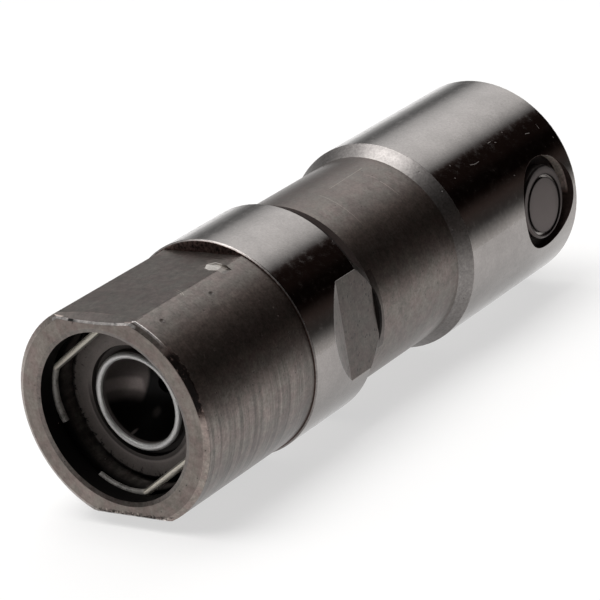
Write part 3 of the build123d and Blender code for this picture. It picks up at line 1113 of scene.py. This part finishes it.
def retaining_clip():
    """Wire with two straight sides, an arc between them and an arc to each free end."""
    half = math.degrees(math.acos(CLIP_FLAT_DISTANCE / CLIP_CORNER_RADIUS))
    corners = [
        on_circle(CLIP_CORNER_RADIUS, turn + CLIP_SIDE_ANGLE)
        for turn in (-half, half, 180 - half, 180 + half)
    ]
    short_end = on_circle(CLIP_SHORT_END_RADIUS, CLIP_SHORT_END_ANGLE)
    short_middle = on_circle(CLIP_CORNER_RADIUS, CLIP_SHORT_MIDDLE_ANGLE)
    far_middle = on_circle(CLIP_ARC_RADIUS, 90 + CLIP_SIDE_ANGLE)
    long_middle = on_circle(CLIP_ARC_RADIUS, (180 + CLIP_SIDE_ANGLE + half + CLIP_LONG_END_ANGLE) / 2)
    long_end = on_circle(CLIP_ARC_RADIUS, CLIP_LONG_END_ANGLE)
    path = arc(short_end, short_middle, corners[0])
    path += arc(corners[1], far_middle, corners[2])
    path += arc(corners[3], long_middle, long_end)
    path = eased(even(path, CLIP_STEP), CLIP_CORNER_PASSES)
    made = piece("clip", *tube(path, CLIP_WIRE_RADIUS), "retainer_clip", sharp=60)
    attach(made, "body")


def rounded(centre, radius, start, end, steps=4):
    """Points of an arc in the turned section, in degrees from +x towards outwards."""
    turns = [math.radians(start + (end - start) * step / steps) for step in range(steps + 1)]
    return [(centre[0] + radius * math.cos(t), centre[1] + radius * math.sin(t)) for t in turns]


def pushrod_seat():
    """Turned cup: socket, raised round lip, groove, flange with a bevelled rim, and an oil hole."""
    lip_round = (LIP_OUTER_RADIUS - SOCKET_RADIUS) / 2
    lip_middle = (LIP_CREST + lip_round, SOCKET_RADIUS + lip_round)
    hole = math.degrees(math.asin(SEAT_HOLE_RADIUS / SOCKET_RADIUS))
    floor = SEAT_FACE + SEAT_GROOVE_DEPTH
    fillet = 0.1
    edge = 0.06
    side = 0.12
    groove_lean = 0.05
    rim_ease = 0.04
    side_ease = 0.05
    section = [
        *rounded((SOCKET_X, 0), SOCKET_RADIUS, hole, 90, steps=40),
        *rounded(lip_middle, lip_round, 270, 90, steps=16),
        *rounded((floor - fillet, LIP_OUTER_RADIUS + fillet), fillet, 270, 360),
        *rounded((floor - fillet, SEAT_GROOVE_RADIUS - groove_lean - fillet), fillet, 0, 90),
        *rounded((SEAT_FACE + edge, SEAT_GROOVE_RADIUS + edge / 2), edge, 270, 180),
        *rounded((SEAT_FACE + fillet, SEAT_RIM_RADIUS - rim_ease), fillet, 180, 135),
        *rounded((SEAT_FACE + SEAT_RIM_RUN + side_ease, SEAT_OUTER_RADIUS - side), side, 135, 90),
        (SEAT_BACK, SEAT_OUTER_RADIUS),
        (SEAT_BACK, SEAT_HOLE_RADIUS),
    ]
    made = piece("seat", *turned_section(section), "pushrod_seat")
    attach(made, "plunger_assembly")


def coil(node, start, end, radius, wire, steps=48):
    """A round-wire spring with flat ground ends, between the bodies that hold its ends."""
    path = []
    for step in range(steps * SPRING_TURNS + 1):
        turn = 2 * math.pi * step / steps
        place = start + (end - start) * step / (steps * SPRING_TURNS)
        path.append(Vector((place, radius * math.cos(turn), radius * math.sin(turn))))
    points, faces = tube(path, wire, sides=12)
    for point in points:
        point.x = min(max(point.x, start), end)
    made = piece(node.replace("spring", "coil"), points, faces, node)
    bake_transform(made)


retaining_clip()
pushrod_seat()
coil(
    "plunger_spring",
    start=PLUNGER_SPRING_START,
    end=BORE_DEPTH,
    radius=PLUNGER_SPRING_RADIUS,
    wire=PLUNGER_SPRING_WIRE,
)
coil(
    "check_spring",
    start=CHECK_SPRING_START,
    end=CHECK_SPRING_END,
    radius=CHECK_SPRING_RADIUS,
    wire=CHECK_SPRING_WIRE,
)


# Stage: floor, light and camera, in metres

FLOOR_HALF = 6.0
FLOOR_COLOUR = (0.42, 0.415, 0.41, 1)
FLAG_X = (-0.06, 0.35)
FLAG_Y = -0.030
FLAG_TOP = 0.012
FLAG_BROWN = (1, 0.72, 0.64)
FLAG_PALE = (1, 0.98, 0.96)

# Heights on the flag, in mm, from where a glow or the pale tint starts to where it is full
FLAG_GLOW_Z = (13, 5)
FLAG_LOW_GLOW_Z = (0.8, -13)
FLAG_PALE_Z = (9, -3)

# Share of a direction along the axis, from where the strips are dark to where they are full
STRIPS_BEHIND = (-0.70, -0.42)
STRIPS_AHEAD = (0.93, 0.80)

# Brightness round the lifter's axis, as (angle, level)
STRIPS = (
    (0, 0.68),
    (6, 0.58),
    (10, 0.43),
    (14, 0.30),
    (22, 0.20),
    (30, 0.31),
    (38, 0.70),
    (46, 1.00),
    (54, 1.24),
    (62, 1.40),
    (78, 1.42),
    (86, 1.34),
    (94, 1.17),
    (102, 0.80),
    (109, 0.34),
    (114, 0.045),
    (119, 0.018),
    (134, 0.015),
    (143, 0.005),
    (152, 0.004),
    (160, 0.010),
    (168, 0.05),
    (180, 0.07),
    (200, 0.40),
    (355, 0.80),
)


def quad(name, corners, finish):
    plane = mesh_object(name, corners, [(0, 1, 2, 3)], finish)
    return plane


def floor():
    """White to the camera and in reflections, and matte enough to keep the lifter's shadow."""
    made, s = material("floor_white")
    path = s.node("LightPath")
    glow = s.add(
        s.times(path.outputs["Is Camera Ray"], 0.60),
        s.times(path.outputs["Is Glossy Ray"], 0.62),
    )
    matte = s.node("BsdfDiffuse", {"Color": FLOOR_COLOUR})
    light = s.node("Emission", {"Color": (1, 1, 1, 1), "Strength": glow})
    both = s.node("AddShader", {0: matte.outputs[0], 1: light.outputs[0]})
    s.node("OutputMaterial", {"Surface": both.outputs[0]})
    size = FLOOR_HALF
    z = cad_box[0].z
    quad("floor", [(-size, -size, z), (size, -size, z), (size, size, z), (-size, size, z)], made)


def flag():
    """Dark card beside the lifter, seen only in its reflections, that glows faintly, and more and paler
    towards the floor.
    """
    made, s = material("flag_dark")
    z = s.place().z
    glow = s.times(s.step(z, *FLAG_GLOW_Z), 0.065)
    level = s.add(glow, s.times(s.step(z, *FLAG_LOW_GLOW_Z), 0.90), 0.008)
    tint = s.mix(s.step(z, *FLAG_PALE_Z), FLAG_BROWN, FLAG_PALE)
    dark = s.node("Emission", {"Color": tint, "Strength": level})
    s.node("OutputMaterial", {"Surface": dark.outputs[0]})
    (left, right), y = FLAG_X, FLAG_Y
    low, high = cad_box[0].z, FLAG_TOP
    card = quad("flag", [(left, y, low), (right, y, low), (right, y, high), (left, y, high)], made)
    card.visible_camera = False
    card.visible_diffuse = False
    card.visible_shadow = False
    card.visible_transmission = False


def studio():
    """Long soft strips round the lifter's axis, brown where they are dark, with dark ends."""
    world = bpy.data.worlds.new("studio")
    bpy.context.scene.world = world
    s = Shader(world)
    direction = s.node("TexCoord").outputs["Generated"]
    x, y, z = s.node("SeparateXYZ", {0: direction}).outputs
    ramp = s.node("ValToRGB", {"Fac": s.times(s.degrees(y, z), 1 / 360)})
    top = max(level for _, level in STRIPS)
    band = ramp.color_ramp
    while len(band.elements) < len(STRIPS):
        band.elements.new(0.5)
    for element, (degrees, level) in zip(band.elements, STRIPS):
        element.position = degrees / 360
        share = level / top
        warmth = min(share / 0.1, 1)
        element.color = (share, share * (0.55 + 0.45 * warmth), share * (0.45 + 0.55 * warmth), 1)
    ends = s.times(s.step(x, *STRIPS_BEHIND), s.step(x, *STRIPS_AHEAD))
    ends = s.blend(s.step(z, -0.05, 0.05), 1.0, s.add(s.times(ends, 0.94), 0.06))
    strips = s.tinted(ramp.outputs["Color"], ends)
    seen = s.mix(s.node("LightPath").outputs["Is Camera Ray"], strips, (1 / top, 1 / top, 1 / top))
    back = s.node("Background", {"Color": seen, "Strength": top})
    s.node("OutputWorld", {"Surface": back.outputs[0]})


def lamp(name, place, target, size, power):
    """A round soft lamp that looks at the target."""
    data = bpy.data.lights.new(name, "AREA")
    data.shape = "DISK"
    data.size = size
    data.energy = power
    made = bpy.data.objects.new(name, data)
    made.location = place
    made.rotation_euler = (Vector(target) - Vector(place)).to_track_quat("-Z", "Y").to_euler()
    bpy.context.scene.collection.objects.link(made)


def camera():
    data = bpy.data.cameras.new("camera")
    data.sensor_width = CAMERA_SENSOR
    data.lens = CAMERA_LENS
    data.clip_start = 0.01
    made = bpy.data.objects.new("camera", data)
    forward = CAMERA_FORWARD.normalized()
    right = forward.cross(CAMERA_UP).normalized()
    up = right.cross(forward)
    turn = Matrix((right, up, -forward)).transposed().to_4x4()
    made.matrix_world = Matrix.Translation(CAMERA_PLACE) @ turn
    bpy.context.scene.collection.objects.link(made)
    bpy.context.scene.camera = made


floor()
flag()
studio()
lamp("overhead", place=(-0.05, 0.1, 0.6), target=(0.03, 0, 0), size=0.5, power=2.2)
camera()
bpy.context.scene.view_settings.view_transform = "Standard"
